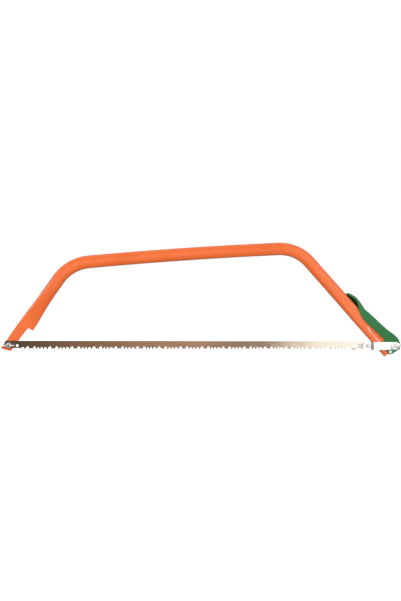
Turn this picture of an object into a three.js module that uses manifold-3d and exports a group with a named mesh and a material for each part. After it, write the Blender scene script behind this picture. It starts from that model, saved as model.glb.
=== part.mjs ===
// Tubular bow saw with an over-centre tension lever.
// Millimetres, +Z up. The saw stands in the XZ plane with its blade at the bottom,
// the front bolt at the -X end and the tension lever at the +X end.
// Inside this file the front bolt axis is the origin; the last lines move the whole
// saw so that the centre of its underside is the origin.

import * as THREE from 'three';
import { mergeVertices } from 'three/addons/utils/BufferGeometryUtils.js';
import Module from 'manifold-3d';

const wasm = await Module();
wasm.setup();

// ---- driving dimensions ------------------------------------------------------

const holeSpan = 762; // front bolt to rear blade pin, a 30 inch blade
const gap = 0.3; // running and seating gap between touching pieces

// bow tube, an oval steel tube pressed flat at the front end
const tubeDepth = 26.9; // oval height seen from the side
const tubeThick = 14.4; // oval width across the saw
const tubeWall = 1.3;
const frontStart = [25.46, 28.55]; // centre line where the front leg meets the tongue
const frontSlope = 55.8; // degrees above the blade line
const frontLeg = 131.3;
const frontBendR = 87.2;
const topSlopeA = 6.0; // the top bar starts at this slope
const topSlopeB = 3.3; // and eases to this one, a very slight arch
const topBar = 404.4;
const rearBendR = 84.2;
const rearSlope = -47.7;
const rearLeg = 262.2;
const tongueThick = 3.0;
const tongueY = 2.25; // centre of the tongue, just behind the blade

// blade
const bladeThick = 0.9;
const bladeTop = 10.0; // top edge above the hole line
const bladeRoot = -3.2; // bottom of the gullets
const toothTip = -8.2;
const toothPeriod = 45.28; // one raker and four cutting teeth
const toothWidth = 4.6;
const gulletAt = 6.7; // gullet centre either side of a raker
const gulletR = 1.9;
const rearHoleIn = 744.6; // spare hole beside the rear pin
const frontHoleIn = 17.2; // spare hole beside the front bolt

// tension lever, link and pins
const fulcrum = [809.5, -13.1];
const rivetAt = [822.4, 0.8];
const leverSheet = 1.3;
const leverInner = 6.8; // half of the space between the cheeks
const linkSheet = 1.6;
const linkWide = 9.3; // half space where the link straddles the tube
const linkRear = 8.45; // half space where it straddles the lever
const linkBlade = 0.75; // half space where it grips the blade
const pinR = 2.5;

// ---- helpers -------------------------------------------------------------------

const rad = THREE.MathUtils.degToRad;

function toSolid(geometry) {
  const g = geometry.clone();
  for (const name of Object.keys(g.attributes)) {
    if (name !== 'position') g.deleteAttribute(name);
  }
  const merged = mergeVertices(g, 1e-4);
  return new wasm.Manifold(new wasm.Mesh({
    numProp: 3,
    vertProperties: new Float32Array(merged.attributes.position.array),
    triVerts: new Uint32Array(merged.index.array),
  }));
}

function toGeometry(solid) {
  const mesh = solid.getMesh();
  const g = new THREE.BufferGeometry();
  g.setAttribute('position', new THREE.BufferAttribute(new Float32Array(mesh.vertProperties), 3));
  g.setIndex(new THREE.BufferAttribute(new Uint32Array(mesh.triVerts), 1));
  g.computeVertexNormals();
  return g;
}

function shapeOf(points) {
  return new THREE.Shape(points.map(([x, z]) => new THREE.Vector2(x, z)));
}

// a plate whose outline lies in the XZ plane, between y0 and y1
function plate(shape, y0, y1, round = 0) {
  const options = { depth: y1 - y0 - 2 * round, bevelEnabled: round > 0, curveSegments: 10 };
  if (round > 0) {
    options.bevelSize = round;
    options.bevelThickness = round;
    options.bevelOffset = -round;
    options.bevelSegments = 2;
  }
  const g = new THREE.ExtrudeGeometry(shape, options);
  g.translate(0, 0, round);
  g.rotateX(Math.PI / 2);
  g.translate(0, y1, 0);
  return g;
}

// a turned piece with its axis along Y; the profile is [radius, y] pairs
function turned(profile, x, z, segments = 20) {
  const points = profile.map(([r, y]) => new THREE.Vector2(r, y));
  const g = new THREE.LatheGeometry(points, segments);
  g.translate(x, 0, z);
  return g;
}

function ring(rOut, rIn, y0, y1, x, z, segments = 20) {
  const c = 0.15;
  return turned([
    [rIn, y0],
    [rOut - c, y0],
    [rOut, y0 + c],
    [rOut, y1 - c],
    [rOut - c, y1],
    [rIn, y1],
    [rIn, y0],
  ], x, z, segments);
}

function outward(geometry) {
  // a lathe profile drawn the other way round would face inwards
  const p = geometry.attributes.position;
  const i = geometry.index;
  let volume = 0;
  const a = new THREE.Vector3();
  const b = new THREE.Vector3();
  const c = new THREE.Vector3();
  for (let k = 0; k < i.count; k += 3) {
    a.fromBufferAttribute(p, i.getX(k));
    b.fromBufferAttribute(p, i.getX(k + 1));
    c.fromBufferAttribute(p, i.getX(k + 2));
    volume += a.dot(b.cross(c));
  }
  if (volume < 0) {
    const flipped = Array.from(i.array);
    for (let k = 0; k < flipped.length; k += 3) {
      [flipped[k + 1], flipped[k + 2]] = [flipped[k + 2], flipped[k + 1]];
    }
    geometry.setIndex(flipped);
  }
  return geometry;
}

function drill(x, z, r, y0 = -40, y1 = 40, segments = 20) {
  return toSolid(outward(turned([[0, y0], [r, y0], [r, y1], [0, y1]], x, z, segments)));
}

// ---- materials ---------------------------------------------------------------

const orange = new THREE.MeshStandardMaterial({ color: 0xee6a35, roughness: 0.32, metalness: 0.0 });
const green = new THREE.MeshStandardMaterial({ color: 0x16683f, roughness: 0.35, metalness: 0.0 });
const steel = new THREE.MeshStandardMaterial({ color: 0x9c8f82, roughness: 0.3, metalness: 1.0 });
const zinc = new THREE.MeshStandardMaterial({ color: 0xd9dcdf, roughness: 0.28, metalness: 1.0 });

const saw = new THREE.Group();

function add(name, geometry, material) {
  const mesh = new THREE.Mesh(geometry, material);
  mesh.name = name;
  saw.add(mesh);
  return mesh;
}

// ---- bow tube ------------------------------------------------------------------

// centre line stations: straight legs and arcs, walked from the tongue to the rear end
function walkCentreLine() {
  const topTurn = topSlopeB - topSlopeA;
  const pieces = [
    { length: frontLeg, turn: 0, steps: 9 },
    { length: frontBendR * rad(frontSlope - topSlopeA), turn: topSlopeA - frontSlope, steps: 9 },
    { length: topBar, turn: topTurn, steps: 3 },
    { length: rearBendR * rad(topSlopeB - rearSlope), turn: rearSlope - topSlopeB, steps: 9 },
    { length: rearLeg, turn: 0, steps: 7 },
  ];
  let [x, z] = frontStart;
  let heading = frontSlope;
  let s = 0;
  const stations = [{ x, z, heading, s }];
  for (const piece of pieces) {
    const ds = piece.length / piece.steps;
    const dh = piece.turn / piece.steps;
    for (let k = 0; k < piece.steps; k++) {
      x += ds * Math.cos(rad(heading + dh / 2));
      z += ds * Math.sin(rad(heading + dh / 2));
      heading += dh;
      s += ds;
      stations.push({ x, z, heading, s });
    }
  }
  return stations;
}

const centreLine = walkCentreLine();
const tubeLength = centreLine[centreLine.length - 1].s;
const smooth = (v, a, b) => THREE.MathUtils.smoothstep(v, a, b);

// the oval's half sizes along the tube: pressed flat and wide at the front, where the
// near wall is pushed on to the far one, and squeezed for the lever at the rear
function sectionAt(s) {
  const front = 1 - smooth(s, 16, 118);
  const rear = smooth(s, tubeLength - 200, tubeLength - 50);
  return {
    half: tubeDepth / 2 + 3.25 * front * front + 0.7 * rear,
    across: -0.98 * front * front,
    thick: tubeThick / 2 + (tongueThick / 2 - tubeThick / 2) * front - 1.2 * rear,
    shift: tongueY * front,
    power: 2.3 + 5 * Math.pow(front, 3) + 0.6 * rear,
  };
}

// rings of points round each station, closed with a cap at both ends
function loft(stations, count, inset) {
  const rings = stations.map((st) => {
    const sec = sectionAt(st.s);
    const a = sec.half - inset;
    const b = Math.max(sec.thick - inset, 0.35);
    const nx = -Math.sin(rad(st.heading));
    const nz = Math.cos(rad(st.heading));
    const points = [];
    for (let k = 0; k < count; k++) {
      const t = (2 * Math.PI * k) / count;
      const c = Math.cos(t);
      const d = Math.sin(t);
      const e = 2 / sec.power;
      const u = sec.across + a * Math.sign(c) * Math.pow(Math.abs(c), e);
      const v = b * Math.sign(d) * Math.pow(Math.abs(d), e);
      points.push([st.x + nx * u, sec.shift + v, st.z + nz * u]);
    }
    return points;
  });
  const positions = rings.flat();
  const index = [];
  for (let r = 0; r < rings.length - 1; r++) {
    for (let k = 0; k < count; k++) {
      const a = r * count + k;
      const b = r * count + ((k + 1) % count);
      index.push(a, b, a + count, b, b + count, a + count);
    }
  }
  const last = (rings.length - 1) * count;
  const first = stations[0];
  const end = stations[stations.length - 1];
  positions.push([first.x, sectionAt(first.s).shift, first.z]);
  positions.push([end.x, sectionAt(end.s).shift, end.z]);
  const firstCentre = positions.length - 2;
  const endCentre = positions.length - 1;
  for (let k = 0; k < count; k++) {
    const j = (k + 1) % count;
    index.push(firstCentre, j, k);
    index.push(endCentre, last + k, last + j);
  }
  const g = new THREE.BufferGeometry();
  g.setAttribute('position', new THREE.Float32BufferAttribute(positions.flat(), 3));
  g.setIndex(index);
  return outward(g);
}

function stationAt(s) {
  // a station on the straight continuation of either leg
  const ref = s < 100 ? centreLine[0] : centreLine[centreLine.length - 1];
  const d = s - ref.s;
  return {
    x: ref.x + d * Math.cos(rad(ref.heading)),
    z: ref.z + d * Math.sin(rad(ref.heading)),
    heading: ref.heading,
    s,
  };
}

// point on the front leg: along its axis and across it (towards the outside)
function onFrontLeg(along, across) {
  const h = rad(frontSlope);
  return [
    frontStart[0] + along * Math.cos(h) - across * Math.sin(h),
    frontStart[1] + along * Math.sin(h) + across * Math.cos(h),
  ];
}

const outerStations = [stationAt(-60), stationAt(-20), ...centreLine];
let tube = toSolid(loft(outerStations, 28, 0));

// the bore runs from where the pressed walls meet to past the open rear end
const boreStations = [stationAt(26), ...centreLine.filter((st) => st.s > 30), stationAt(tubeLength + 5)];
tube = tube.subtract(toSolid(loft(boreStations, 20, tubeWall)));

// tongue outline: the pressed end is trimmed on the inside to a narrow strap
const trim = new THREE.Shape();
const cut = [
  onFrontLeg(14.4, -40),
  onFrontLeg(14.4, -14.2),
  onFrontLeg(13.8, -9.6),
  onFrontLeg(11.4, -7.0),
  onFrontLeg(7.6, -6.0),
  onFrontLeg(-15, -5.4),
  onFrontLeg(-40, -5.0),
  onFrontLeg(-44.2, -3.8),
  onFrontLeg(-46.8, -0.6),
  onFrontLeg(-50.9, 10.4),
  onFrontLeg(-51.6, 14.0),
  onFrontLeg(-51.0, 15.6),
  onFrontLeg(-48.6, 17.5),
  onFrontLeg(-48.6, 40),
  onFrontLeg(-80, 40),
  onFrontLeg(-80, -40),
];
cut.forEach(([x, z], k) => (k === 0 ? trim.moveTo(x, z) : trim.lineTo(x, z)));
trim.closePath();
tube = tube.subtract(toSolid(plate(trim, -20, 20)));
tube = tube.subtract(drill(0, 0, 3.4));

// the fulcrum pin sits in a shallow notch across the open end
tube = tube.subtract(drill(fulcrum[0], fulcrum[1], pinR + 0.55));

// a narrow slot in the inner edge clears the rounded rear end of the blade
const relief = new THREE.Shape();
relief.absarc(holeSpan + 2.6, 0.6, 10.2, 0, Math.PI * 2);
tube = tube.subtract(toSolid(plate(relief, -1.2, 1.2)));
add('bow_tube', toGeometry(tube), orange);

// ---- blade ---------------------------------------------------------------------

const rearTip = holeSpan + 12; // rounded rear end
const slotLeft = 1.6; // the rear hole is a slot: free travel towards the front
const slotRight = 6.6; // and towards the tube
const slotHalf = 3.6;

// the tooth line repeats a raker and four cutting teeth, as offsets from the raker
function bladeOutline() {
  const s = new THREE.Shape();
  const gullet = (cx) => {
    for (let k = 0; k <= 4; k++) {
      const t = (Math.PI * k) / 4;
      s.lineTo(cx + gulletR * Math.cos(t), bladeRoot - 0.4 + gulletR * Math.sin(t));
    }
  };
  s.moveTo(-9, bladeTop - 4);
  s.quadraticCurveTo(-9, bladeTop, -5, bladeTop);
  s.absarc(rearTip - 9.4, 0.6, 9.4, Math.PI / 2, -Math.PI / 2, true);
  s.lineTo(728, -8.8);
  s.lineTo(722, bladeRoot);
  for (let k = 15; k >= 1; k--) {
    const x0 = k * toothPeriod;
    const tooth = (offset, width) => {
      const x = x0 + offset * toothPeriod;
      s.lineTo(x + width / 2, bladeRoot - 0.5);
      s.lineTo(x + width * 0.3, toothTip + 1.9);
      s.lineTo(x, toothTip);
      s.lineTo(x - width * 0.3, toothTip + 1.9);
      s.lineTo(x - width / 2, bladeRoot - 0.5);
    };
    // cutting teeth
    tooth(0.735, toothWidth);
    tooth(0.548, toothWidth);
    tooth(0.395, toothWidth);
    tooth(0.25, toothWidth);
    // raker: two chisel points with a notch between them, gullets on both sides
    gullet(x0 + gulletAt);
    s.lineTo(x0 + 4.2, bladeRoot - 1.4);
    s.lineTo(x0 + 3.0, toothTip + 0.5);
    s.lineTo(x0 + 1.0, toothTip + 2.4);
    s.lineTo(x0 - 1.0, toothTip + 2.4);
    s.lineTo(x0 - 3.0, toothTip + 0.5);
    s.lineTo(x0 - 4.2, bladeRoot - 1.4);
    gullet(x0 - gulletAt);
  }
  const lone = toothPeriod * 0.72;
  s.lineTo(lone + toothWidth / 2, bladeRoot - 0.5);
  s.lineTo(lone + toothWidth * 0.3, toothTip + 1.9);
  s.lineTo(lone, toothTip);
  s.lineTo(lone - toothWidth * 0.3, toothTip + 1.9);
  s.lineTo(lone - toothWidth / 2, bladeRoot - 0.5);
  s.lineTo(24, -5.2);
  s.lineTo(-2, -5.2);
  s.quadraticCurveTo(-9, -5.2, -9, 0);
  return s;
}

let blade = toSolid(plate(bladeOutline(), -bladeThick / 2, bladeThick / 2));
for (const [x, z, r] of [[0, 0, 3.4], [frontHoleIn, 0, 2.6], [rearHoleIn, 0, 2.6]]) {
  blade = blade.subtract(drill(x, z, r));
}
const slot = new THREE.Shape();
slot.absarc(holeSpan + slotRight - slotHalf + pinR, 0, slotHalf, -Math.PI / 2, Math.PI / 2, false);
slot.absarc(holeSpan - slotLeft + slotHalf - pinR, 0, slotHalf, Math.PI / 2, -Math.PI / 2, false);
blade = blade.subtract(toSolid(plate(slot, -5, 5)));
add('saw_blade', toGeometry(blade), steel);

// ---- front bolt, washers and wing nut -------------------------------------------

const tongueBack = tongueY + tongueThick / 2;
const nutBase = -(bladeThick / 2 + gap + 1.2 + gap);

const hexHead = new THREE.Shape();
for (let k = 0; k < 6; k++) {
  const t = rad(60 * k + 30);
  const p = [5.8 * Math.cos(t), 5.8 * Math.sin(t)];
  if (k === 0) hexHead.moveTo(...p);
  else hexHead.lineTo(...p);
}
hexHead.closePath();
const headStart = tongueBack + gap + 1.2 + gap;
const bolt = toSolid(plate(hexHead, headStart, headStart + 4))
  .add(toSolid(outward(turned([
    [0, nutBase - 8.4],
    [2.4, nutBase - 8.4],
    [2.95, nutBase - 7.8],
    [2.95, headStart + 1],
    [0, headStart + 1],
  ], 0, 0))));
add('front_bolt', toGeometry(bolt), zinc);

add('front_washer_near', outward(ring(6.4, 3.3, nutBase + gap, nutBase + gap + 1.2, 0, 0)), zinc);
add('front_washer_far', outward(ring(7.2, 3.3, tongueBack + gap, tongueBack + gap + 1.2, 0, 0)), zinc);

// wing nut: a tapered boss with two wings that lean outwards
function wingNut() {
  let nut = toSolid(outward(turned([
    [0, nutBase - 6.2],
    [3.9, nutBase - 6.2],
    [4.4, nutBase - 5.7],
    [5.1, nutBase - 0.4],
    [4.8, nutBase],
    [0, nutBase],
  ], 0, 0, 24)));
  for (const side of [-1, 1]) {
    const w = new THREE.Shape();
    w.moveTo(side * 3.2, nutBase - 0.6);
    w.lineTo(side * 6.2, nutBase - 1.4);
    w.quadraticCurveTo(side * 11.2, nutBase - 5.2, side * 11.7, nutBase - 9.6);
    w.quadraticCurveTo(side * 11.2, nutBase - 12.4, side * 8.8, nutBase - 11.2);
    w.quadraticCurveTo(side * 6.2, nutBase - 8.4, side * 3.2, nutBase - 5.4);
    w.closePath();
    const g = new THREE.ExtrudeGeometry(w, {
      depth: 1.2,
      bevelEnabled: true,
      bevelSize: 0.6,
      bevelThickness: 0.6,
      bevelOffset: -0.6,
      bevelSegments: 2,
      curveSegments: 8,
    });
    g.translate(0, 0, -0.6);
    nut = nut.add(toSolid(g));
  }
  return nut.subtract(drill(0, 0, 3.05, nutBase - 20, nutBase + 5));
}
add('wing_nut', toGeometry(wingNut()), zinc);

// ---- tension lever ---------------------------------------------------------------

// side view: a finger tab that turns away from the tube, a straight channel along the
// tube's outer edge and a rounded heel round the fulcrum
const leverOutside = [
  [718.0, 113.9], [724.9, 110.4], [734.5, 104.2], [745.2, 91.3], [754.0, 78.5], [763.4, 70.7],
  [780.4, 55.3], [802.7, 35.7], [818.0, 24.9], [828.0, 14.9], [832.4, 4.3], [832.1, -4.5],
];
const leverInside = [
  [796.1, 14.8], [786.0, 24.1], [764.1, 44.1], [750.1, 57.5], [743.9, 69.9], [739.5, 81.3],
  [736.4, 92.7], [730.2, 101.3], [721.8, 106.6], [715.6, 111.1],
];

function curvePoints(points, divisions) {
  const curve = new THREE.SplineCurve(points.map(([x, z]) => new THREE.Vector2(x, z)));
  return curve.getPoints(divisions);
}

function leverOutline() {
  const s = new THREE.Shape(curvePoints(leverOutside, 26));
  s.quadraticCurveTo(831.1, -7.9, 826.0, -9.8);
  // rounded heel below the fulcrum
  s.absarc(fulcrum[0], fulcrum[1], 5.8, rad(-58), rad(-175), true);
  s.lineTo(796.4, 7);
  for (const p of curvePoints(leverInside, 20)) s.lineTo(p.x, p.y);
  s.quadraticCurveTo(714.8, 113.6, 718.0, 113.9);
  return s;
}

// the space inside the channel: offset from the outer curve by the sheet thickness,
// open towards the tube and past the heel
function leverHollow() {
  const outside = curvePoints(leverOutside, 26);
  const inner = outside.map((p, k) => {
    const a = outside[Math.max(k - 1, 0)];
    const b = outside[Math.min(k + 1, outside.length - 1)];
    const t = new THREE.Vector2().subVectors(b, a).normalize();
    return new THREE.Vector2(p.x + t.y * leverSheet, p.y - t.x * leverSheet);
  });
  const s = new THREE.Shape();
  const first = 2;
  s.moveTo(inner[first].x, inner[first].y);
  for (let k = first + 1; k < inner.length; k++) s.lineTo(inner[k].x, inner[k].y);
  s.lineTo(831.7, -9);
  s.lineTo(840, -10);
  s.lineTo(840, -60);
  s.lineTo(700, -60);
  s.lineTo(700, 90);
  s.closePath();
  return s;
}

let lever = toSolid(plate(leverOutline(), -leverInner - leverSheet, leverInner + leverSheet, 1.1));
lever = lever.subtract(toSolid(plate(leverHollow(), -leverInner, leverInner)));
// the far cheek runs fuller under the tab and closes the finger gap on that side
const skirt = new THREE.Shape();
skirt.moveTo(718.6, 112.4);
skirt.lineTo(724.6, 109.2);
skirt.lineTo(733.2, 103.6);
skirt.lineTo(741.0, 94.4);
skirt.lineTo(744.6, 84.0);
skirt.lineTo(740.4, 80.4);
skirt.lineTo(731.4, 90.2);
skirt.lineTo(721.6, 101.0);
skirt.lineTo(715.4, 108.2);
skirt.lineTo(716.0, 111.0);
skirt.closePath();
lever = lever.add(toSolid(plate(skirt, leverInner, leverInner + leverSheet)));
lever = lever.subtract(drill(fulcrum[0], fulcrum[1], pinR + 0.3));
lever = lever.subtract(drill(rivetAt[0], rivetAt[1], pinR + 0.3));
add('tension_lever', toGeometry(lever), green);

// pins with two formed heads; y is symmetric about the blade plane
function headedPin(x, z, r, headR, shoulder, headHeight) {
  const y = shoulder;
  const h = headHeight;
  const dome = [];
  for (let k = 0; k <= 3; k++) {
    const t = (Math.PI / 2) * (k / 3);
    dome.push([headR * Math.cos(t), y + h * (0.35 + 0.65 * Math.sin(t))]);
  }
  dome[dome.length - 1][0] = 0;
  const upper = [[r, y], [headR, y], ...dome];
  const lower = upper.map(([a, b]) => [a, -b]).reverse();
  return outward(turned([...lower, ...upper], x, z));
}

add('fulcrum_pin', headedPin(...fulcrum, pinR, 3.4, leverInner + leverSheet + gap, 0.8), zinc);

// ---- link --------------------------------------------------------------------------

// two pressed cheeks that close on the blade, step out round the tube and narrow again
// at the lever rivet
function linkCheek(side) {
  const path = [
    [745, linkBlade], [769.3, linkBlade], [772.3, linkWide],
    [809.4, linkWide], [814.6, linkRear], [840, linkRear],
  ];
  const inner = path.map(([x, y]) => [x, y * side]);
  const outer = path.map(([x, y], k) => {
    const lean = k === 1 || k === 2 ? -1.1 : 0;
    const ease = k === 3 || k === 4 ? 0.15 : 0;
    return [x + lean + ease, (y + linkSheet) * side];
  }).reverse();
  const strip = new THREE.ExtrudeGeometry(shapeOf([...inner, ...outer]), { depth: 30, bevelEnabled: false });
  strip.translate(0, 0, -15);
  const outline = new THREE.Shape();
  outline.moveTo(756, 8.3);
  outline.lineTo(rivetAt[0] - 2, 8.3);
  outline.absarc(rivetAt[0], rivetAt[1] - 0.7, 8.2, Math.PI / 2, -Math.PI / 2, true);
  outline.lineTo(757, -8.9);
  outline.quadraticCurveTo(750.6, -8.6, 750.4, -1);
  outline.quadraticCurveTo(750.6, 8.0, 756, 8.3);
  return toSolid(strip)
    .intersect(toSolid(plate(outline, -20, 20)))
    .subtract(drill(...rivetAt, pinR + 0.3))
    .subtract(drill(holeSpan, 0, pinR + 0.3));
}
add('link_cheek_near', toGeometry(linkCheek(-1)), zinc);
add('link_cheek_far', toGeometry(linkCheek(1)), zinc);
add('link_rivet', headedPin(...rivetAt, pinR, 4.9, linkRear + linkSheet + gap, 1.8), zinc);
add('rivet_spacer', outward(ring(4.1, pinR + 0.3, -leverInner + gap, leverInner - gap, ...rivetAt)), zinc);

// ---- blade pin ----------------------------------------------------------------------

const cheekOut = linkBlade + linkSheet;
const clipY = cheekOut + gap;
const pin = toSolid(outward(turned([
  [0, -cheekOut - gap - 1.9],
  [2.4, -cheekOut - gap - 1.7],
  [4.0, -cheekOut - gap - 0.9],
  [4.2, -cheekOut - gap],
  [pinR, -cheekOut - gap],
  [pinR, clipY],
  [1.8, clipY],
  [1.8, clipY + 1.0 + 2 * gap],
  [pinR, clipY + 1.0 + 2 * gap],
  [pinR, clipY + 3.0],
  [2.1, clipY + 3.4],
  [0, clipY + 3.4],
], holeSpan, 0)));
add('blade_pin', toGeometry(pin), zinc);

// spring clip in the pin's groove, an open ring
const clip = new THREE.Shape();
clip.absarc(holeSpan, 0, 4.6, rad(-60), rad(240), false);
clip.absarc(holeSpan, 0, 2.1, rad(235), rad(-55), true);
clip.closePath();
add('blade_pin_clip', plate(clip, clipY + gap, clipY + gap + 1.0), zinc);

// ---- place the whole saw ---------------------------------------------------------------

saw.updateMatrixWorld(true);
const box = new THREE.Box3().setFromObject(saw, true);
saw.position.set(-(box.min.x + box.max.x) / 2, 0, -box.min.z);

export default saw;
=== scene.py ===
import math
import bpy
import bmesh
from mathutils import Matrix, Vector


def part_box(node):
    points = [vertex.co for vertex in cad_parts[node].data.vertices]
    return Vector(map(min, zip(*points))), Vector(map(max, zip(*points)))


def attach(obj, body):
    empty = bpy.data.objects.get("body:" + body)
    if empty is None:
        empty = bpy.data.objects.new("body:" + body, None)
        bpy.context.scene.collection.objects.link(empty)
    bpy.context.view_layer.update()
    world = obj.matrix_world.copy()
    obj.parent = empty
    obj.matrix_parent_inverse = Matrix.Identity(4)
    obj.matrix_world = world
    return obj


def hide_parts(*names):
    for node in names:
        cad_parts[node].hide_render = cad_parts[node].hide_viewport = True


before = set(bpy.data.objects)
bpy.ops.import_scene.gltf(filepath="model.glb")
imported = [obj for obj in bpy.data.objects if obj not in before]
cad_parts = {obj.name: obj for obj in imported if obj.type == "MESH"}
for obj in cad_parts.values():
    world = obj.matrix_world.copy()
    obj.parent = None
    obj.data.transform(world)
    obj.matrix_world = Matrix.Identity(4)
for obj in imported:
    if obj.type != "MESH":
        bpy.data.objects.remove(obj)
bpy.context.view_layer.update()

# the front bolt's axis is the working origin, and sizes below are in millimetres
boltLow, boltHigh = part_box("front_bolt")
boltX = (boltLow[0] + boltHigh[0]) / 2
boltZ = (boltLow[2] + boltHigh[2]) / 2

# places that more than one piece shares: the lever's pivot and the blade's rounded rear end
fulcrumAt = (809.5, -13.1)
bladeEndAt = (764.6, 0.6)
bladeEndRadius = 9.4


def mm(x, y, z):
    return Vector((boltX + x / 1000, y / 1000, boltZ + z / 1000))


# small modelling helpers


def deselectAll():
    if bpy.context.object and bpy.context.object.mode != "OBJECT":
        bpy.ops.object.mode_set(mode="OBJECT")
    bpy.ops.object.select_all(action="DESELECT")


def makeActive(obj):
    deselectAll()
    obj.select_set(True)
    bpy.context.view_layer.objects.active = obj


def editMode():
    bpy.ops.object.mode_set(mode="EDIT")


def objectMode():
    bpy.ops.object.mode_set(mode="OBJECT")


def pick(kind, test):
    # in edit mode: select only what the test accepts, by place or normal
    bpy.ops.mesh.select_mode(type=kind)
    bpy.ops.mesh.select_all(action="DESELECT")
    bm = bmesh.from_edit_mesh(bpy.context.object.data)
    parts = {"VERT": bm.verts, "EDGE": bm.edges, "FACE": bm.faces}[kind]
    for part in parts:
        if test(part):
            part.select_set(True)
    bm.select_flush_mode()
    bmesh.update_edit_mesh(bpy.context.object.data)


def midOf(part):
    total = Vector()
    for v in part.verts:
        total += v.co
    return total / len(part.verts)


def freezePlace(obj):
    makeActive(obj)
    bpy.ops.object.transform_apply(location=True, rotation=True, scale=True)


def firstPoint(name, point):
    # a tiny plane merged to one vertex is the pen for an outline
    deselectAll()
    bpy.ops.mesh.primitive_plane_add(size=0.001, location=point)
    obj = bpy.context.object
    obj.name = name
    obj.data.name = name
    freezePlace(obj)
    editMode()
    bpy.ops.mesh.select_mode(type="VERT")
    bpy.ops.mesh.select_all(action="SELECT")
    bpy.ops.mesh.merge(type="CENTER")
    return obj


def drawLine(name, points):
    obj = firstPoint(name, points[0])
    for a, b in zip(points, points[1:]):
        bpy.ops.mesh.extrude_region_move(TRANSFORM_OT_translate={"value": b - a})
    return obj


def drawOutline(name, points):
    # closed outline filled with one face, left in edit mode with the face selected
    obj = drawLine(name, points)
    bpy.ops.mesh.select_all(action="SELECT")
    bpy.ops.mesh.edge_face_add()
    bpy.ops.mesh.select_all(action="SELECT")
    return obj


def push(offset):
    bpy.ops.mesh.extrude_region_move(TRANSFORM_OT_translate={"value": offset})


def plateFrom(name, points, thick):
    # outline in the XZ plane pulled back along Y
    obj = drawOutline(name, points)
    push(Vector((0, thick / 1000, 0)))
    bpy.ops.mesh.select_all(action="SELECT")
    bpy.ops.mesh.normals_make_consistent(inside=False)
    objectMode()
    return obj


def spinProfile(name, profile, x, z, steps=64):
    # profile of (radius, y) turned about a Y axis through x, z
    points = [mm(x + r, y, z) for r, y in profile]
    obj = drawLine(name, points)
    bpy.ops.mesh.select_all(action="SELECT")
    bpy.ops.mesh.spin(steps=steps, angle=2 * math.pi, center=mm(x, 0, z), axis=(0, 1, 0))
    bpy.ops.mesh.select_all(action="SELECT")
    bpy.ops.mesh.remove_doubles(threshold=0.000008)
    bpy.ops.mesh.dissolve_degenerate(threshold=0.000004)
    bpy.ops.mesh.select_all(action="SELECT")
    bpy.ops.mesh.normals_make_consistent(inside=False)
    objectMode()
    return obj


def useModifier(obj, kind, **settings):
    makeActive(obj)
    mod = obj.modifiers.new(kind.title(), kind)
    for key, value in settings.items():
        setattr(mod, key, value)
    bpy.ops.object.modifier_apply(modifier=mod.name)


def cutWith(obj, cutter, operation="DIFFERENCE"):
    useModifier(obj, "BOOLEAN", object=cutter, operation=operation, solver="EXACT")
    bpy.data.objects.remove(cutter, do_unlink=True)


def easeEdges(obj, width, segments=2, angle=30):
    useModifier(obj, "BEVEL", width=width / 1000, segments=segments, limit_method="ANGLE",
                angle_limit=math.radians(angle), harden_normals=False, miter_outer="MITER_ARC")


def smoothShade(obj, angle=35):
    makeActive(obj)
    bpy.ops.object.shade_smooth_by_angle(angle=math.radians(angle))


def finishPiece(obj, material, body, nodes):
    if not isinstance(material, list):
        obj.data.materials.clear()
        obj.data.materials.append(material)
    freezePlace(obj)
    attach(obj, body)
    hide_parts(*nodes)
    print("made", obj.name, len(obj.data.polygons), "faces")


# materials


def newMaterial(name):
    material = bpy.data.materials.new(name)
    material.use_nodes = True
    tree = material.node_tree
    shader = tree.nodes["Principled BSDF"]
    return material, tree, shader


def addNode(tree, kind, place, **sockets):
    node = tree.nodes.new(kind)
    node.location = place
    for key, value in sockets.items():
        node.inputs[key].default_value = value
    return node


def link(tree, a, outName, b, inName):
    tree.links.new(a.outputs[outName], b.inputs[inName])


def objectPattern(tree, scale, place, turn=(0, 0, 0)):
    coords = addNode(tree, "ShaderNodeTexCoord", (place[0] - 400, place[1]))
    mapping = addNode(tree, "ShaderNodeMapping", (place[0] - 200, place[1]))
    mapping.inputs["Scale"].default_value = scale
    mapping.inputs["Rotation"].default_value = turn
    link(tree, coords, "Object", mapping, "Vector")
    return mapping


def noise(tree, source, scale, detail, rough, place):
    node = addNode(tree, "ShaderNodeTexNoise", place, Scale=scale, Detail=detail, Roughness=rough)
    link(tree, source, "Vector", node, "Vector")
    return node


def ramp(tree, source, stops, place, outName="Fac"):
    node = addNode(tree, "ShaderNodeValToRGB", place)
    while len(node.color_ramp.elements) < len(stops):
        node.color_ramp.elements.new(0.5)
    for element, (position, colour) in zip(node.color_ramp.elements, stops):
        element.position = position
        element.color = (*colour, 1)
    tree.links.new(source.outputs[outName], node.inputs["Fac"])
    return node


def rangeOf(tree, source, outName, low, high, place, fromLow=0.0, fromHigh=1.0):
    node = addNode(tree, "ShaderNodeMapRange", place)
    node.inputs["From Min"].default_value = fromLow
    node.inputs["From Max"].default_value = fromHigh
    node.inputs["To Min"].default_value = low
    node.inputs["To Max"].default_value = high
    tree.links.new(source.outputs[outName], node.inputs["Value"])
    return node


def blendColours(tree, factor, factorOut, a, b, place, mode="MIX"):
    # a and b are nodes with a Color output, or plain colours
    node = addNode(tree, "ShaderNodeMix", place)
    node.data_type = "RGBA"
    node.blend_type = mode
    for key, value in ((6, a), (7, b)):
        if hasattr(value, "outputs"):
            out = value.outputs.get("Color") or value.outputs[2]
            tree.links.new(out, node.inputs[key])
        else:
            node.inputs[key].default_value = (*value, 1)
    if hasattr(factor, "outputs"):
        tree.links.new(factor.outputs[factorOut], node.inputs[0])
    else:
        node.inputs[0].default_value = factor
    return node


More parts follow.
